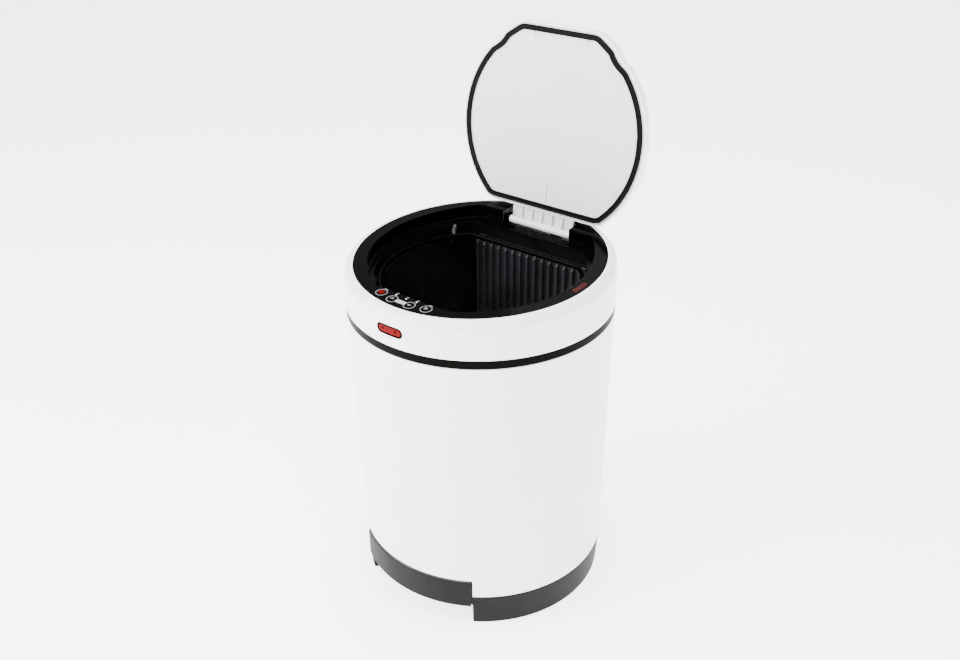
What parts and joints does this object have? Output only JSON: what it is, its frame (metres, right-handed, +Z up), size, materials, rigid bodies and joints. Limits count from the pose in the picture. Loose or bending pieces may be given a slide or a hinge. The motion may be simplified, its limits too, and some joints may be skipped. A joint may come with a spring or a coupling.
{
  "type": "trash compactor",
  "caption": "Round white kitchen trash compactor with foot bar, lift-off head, powered flip-up lid, control panel and ribbed press plate over a waste bucket.",
  "frame": {"origin": "on the floor, on the axis of the round cabinet (1.5 mm under the face of the base)", "axes": "+Z up, front (foot bar, sensor window, control panel) towards -Y, +X to the right as seen from the front"},
  "size_m": [0.422, 0.4328, 0.8777],
  "materials": {
    "white_gloss": "white high-gloss moulding",
    "black_gloss": "piano-black gloss",
    "chamber_black": "smooth black liner",
    "black_satin": "satin black",
    "dark_grey": "dark grey, fine grain",
    "light_grey": "pale grey satin",
    "rubber": "black rubber",
    "red_lens": "translucent red",
    "dark_lens": "dark red epoxy",
    "clear_led": "milky white",
    "board": "green circuit board",
    "nylon": "natural nylon",
    "steel": "turned steel",
    "motor_steel": "zinc-plated motor can"
  },
  "bodies": {
    "cabinet": {"base_moulding": "dark_grey", "floor_pad_1": "rubber", "floor_pad_2": "rubber", "floor_pad_3": "rubber", "floor_pad_4": "rubber", "body_shell": "white_gloss", "pedal_axle": "steel", "pedal_spring": "steel", "pedal_switch": "black_satin", "waste_bucket": "black_satin"},
    "pedal": {"pedal_bar": "dark_grey"},
    "head": {"seam_ring": "black_satin", "head_ring": "white_gloss", "sensor_bezel": "black_gloss", "sensor_lens": "red_lens", "sensor_cell_1": "dark_lens", "sensor_cell_2": "dark_lens", "sensor_board": "board", "deck": "black_gloss", "led_light_pipe_1": "clear_led", "led_light_pipe_2": "clear_led", "led_light_pipe_3": "clear_led", "indicator_window": "red_lens", "control_board": "board", "power_socket": "black_satin", "hopper_liner": "chamber_black", "lid_motor": "motor_steel", "hinge_bracket": "black_satin", "press_bush_left": "nylon", "press_bush_right": "nylon", "press_gearbox": "motor_steel", "press_motor": "motor_steel", "motor_hanger": "steel", "main_board": "board"},
    "bag_ring": {"bag_ring": "chamber_black"},
    "power_button": {"power_button": "black_gloss"},
    "open_button": {"open_button": "black_gloss"},
    "close_button": {"close_button": "black_gloss"},
    "start_button": {"start_button": "black_gloss"},
    "lid": {"lid_cover": "white_gloss", "lid_inner_panel": "light_grey", "lid_gasket": "rubber", "lid_screw_1": "light_grey", "lid_screw_2": "light_grey", "lid_screw_3": "light_grey", "lid_screw_4": "light_grey", "lid_screw_5": "light_grey", "lid_screw_6": "light_grey", "lid_screw_7": "light_grey", "lid_screw_8": "light_grey", "lid_hinge_leaf": "light_grey", "lid_hinge_pin": "steel", "lid_gear": "nylon"},
    "lid_pinion": {"lid_pinion": "steel"},
    "press": {"press_plate": "black_satin", "press_shaft": "steel", "press_gear": "steel"},
    "press_pinion": {"press_pinion": "steel"}
  },
  "joints": [
    {"name": "pedal_press", "type": "hinge", "parent": "cabinet", "child": "pedal", "pos_m": [0, -0.152, 0.065], "axis": [1, 0, 0], "range_deg": [0, 6], "stiffness_Nm_per_rad": 3, "springref_deg": -6.88},
    {"name": "head_lift", "type": "slide", "parent": "cabinet", "child": "head", "axis": [0, 0, 1], "range_m": [0, 0.3]},
    {"name": "bag_ring_lift", "type": "slide", "parent": "head", "child": "bag_ring", "axis": [0, 0, -1], "range_m": [-0.12, 0]},
    {"name": "lid_hinge", "type": "hinge", "parent": "head", "child": "lid", "pos_m": [0, 0.16, 0.559], "axis": [1, 0, 0], "range_deg": [0, 100.7]},
    {"name": "lid_pinion_spin", "type": "hinge", "parent": "head", "child": "lid_pinion", "pos_m": [0, 0.16, 0.541], "axis": [1, 0, 0], "range_deg": [-202, 0]},
    {"name": "press_swing", "type": "hinge", "parent": "head", "child": "press", "pos_m": [0, 0.127, 0.285], "axis": [1, 0, 0], "range_deg": [0, 105]},
    {"name": "press_pinion_spin", "type": "hinge", "parent": "head", "child": "press_pinion", "pos_m": [0, 0.166, 0.285], "axis": [1, 0, 0], "range_deg": [-351, 0]},
    {"name": "power_button_press", "type": "slide", "parent": "head", "child": "power_button", "axis": [0, 0, -1], "range_m": [0, 0.001], "stiffness_N_per_m": 400, "springref_m": -0.001},
    {"name": "open_button_press", "type": "slide", "parent": "head", "child": "open_button", "axis": [0, 0, -1], "range_m": [0, 0.001], "stiffness_N_per_m": 400, "springref_m": -0.001},
    {"name": "close_button_press", "type": "slide", "parent": "head", "child": "close_button", "axis": [0, 0, -1], "range_m": [0, 0.001], "stiffness_N_per_m": 400, "springref_m": -0.001},
    {"name": "start_button_press", "type": "slide", "parent": "head", "child": "start_button", "axis": [0, 0, -1], "range_m": [0, 0.001], "stiffness_N_per_m": 400, "springref_m": -0.001}
  ],
  "couplings": [
    {"joint": "lid_pinion_spin", "follows": "lid_hinge", "ratio": -2},
    {"joint": "press_pinion_spin", "follows": "press_swing", "ratio": -3.3333}
  ]
}
